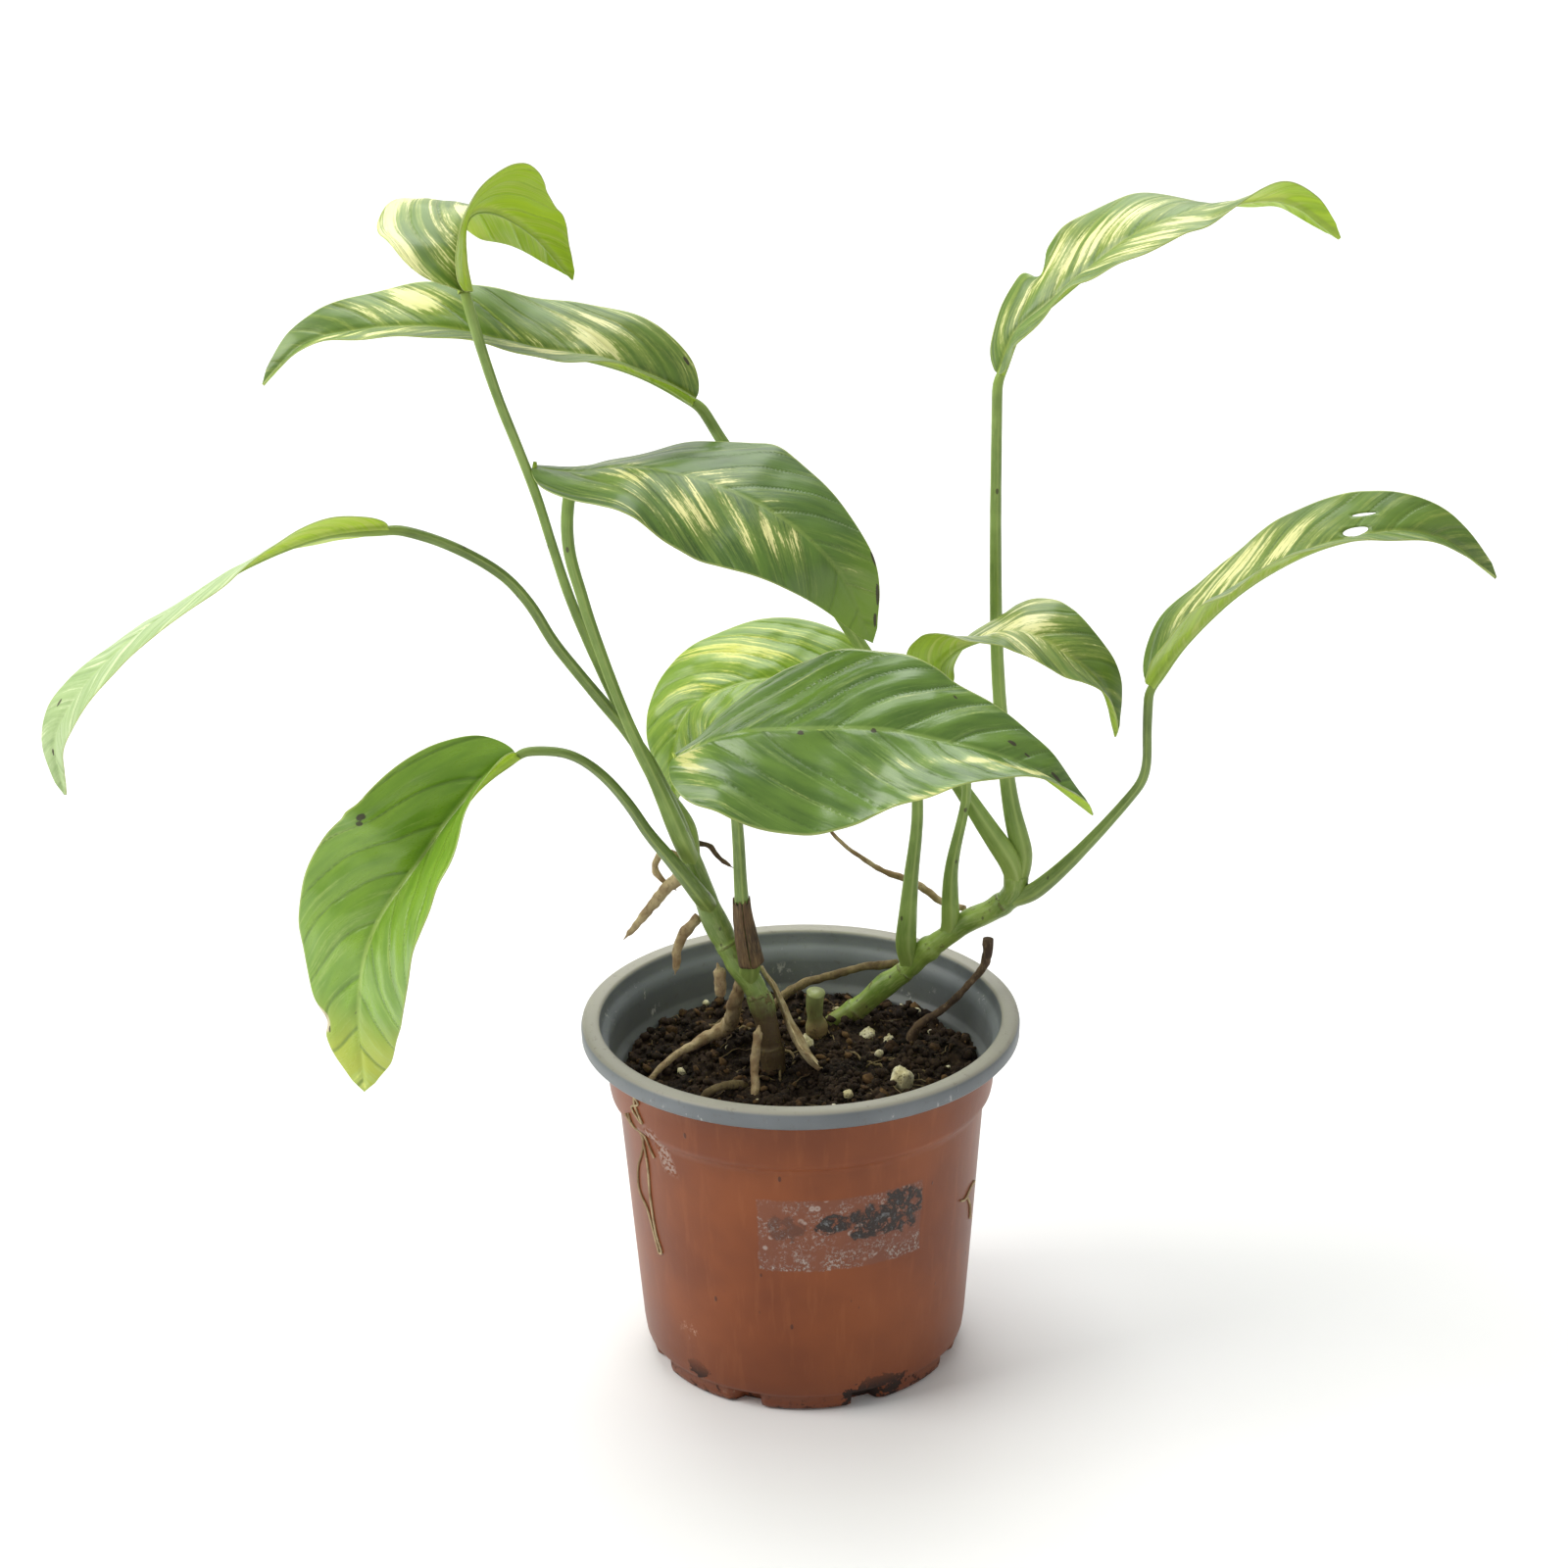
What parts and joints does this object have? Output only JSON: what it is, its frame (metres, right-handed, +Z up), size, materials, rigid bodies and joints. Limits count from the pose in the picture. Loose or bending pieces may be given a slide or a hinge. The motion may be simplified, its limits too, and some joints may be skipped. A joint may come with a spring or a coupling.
{
  "type": "potted monstera plant",
  "caption": "Climbing aroid with variegated lance-shaped leaves on long stalks, aerial roots and angled stems, rooted in soil in a round two-tone nursery pot.",
  "frame": {"origin": "centre of the pot's flat base, on the surface that it stands on", "axes": "+Z up through the pot's mouth, +X to the right of the widest spread of leaves, -Y towards the viewer"},
  "size_m": [0.3813, 0.1217, 0.3384],
  "materials": {
    "pot_plastic": "satin, scuffed",
    "potting_soil": "rough, moist peat and bark",
    "stem_green": "smooth, waxy",
    "leaf_green": "glossy, waxy",
    "root_bark": "rough",
    "dry_husk": "matt, papery",
    "pumice": "rough, porous"
  },
  "bodies": {
    "root": {"aerial_root_lower": "root_bark", "aerial_root_stump": "root_bark", "aerial_root_upper": "root_bark", "anchor_root": "root_bark", "dry_sheath": "dry_husk", "dry_tendril": "root_bark", "leaf_centre": "leaf_green", "leaf_far_left": "leaf_green", "leaf_front": "leaf_green", "leaf_lower_left": "leaf_green", "leaf_mid_back": "leaf_green", "leaf_right": "leaf_green", "leaf_small_right": "leaf_green", "leaf_top_arch": "leaf_green", "leaf_top_left": "leaf_green", "leaf_top_right": "leaf_green", "nursery_pot": "pot_plastic", "petiole_centre": "stem_green", "petiole_far_left": "stem_green", "petiole_front": "stem_green", "petiole_lower_left": "stem_green", "petiole_mid_back": "stem_green", "petiole_right": "stem_green", "petiole_small_right": "stem_green", "petiole_top_arch": "stem_green", "petiole_top_left": "stem_green", "petiole_top_right": "stem_green", "prop_root": "root_bark", "pruned_stub": "stem_green", "pumice_1": "pumice", "pumice_2": "pumice", "pumice_3": "pumice", "pumice_4": "pumice", "root_dry_thread": "root_bark", "root_loop": "root_bark", "root_to_back_soil": "root_bark", "root_upright": "root_bark", "soil": "potting_soil", "stem_left": "stem_green", "stem_right": "stem_green", "surface_root": "root_bark"}
  },
  "joints": []
}
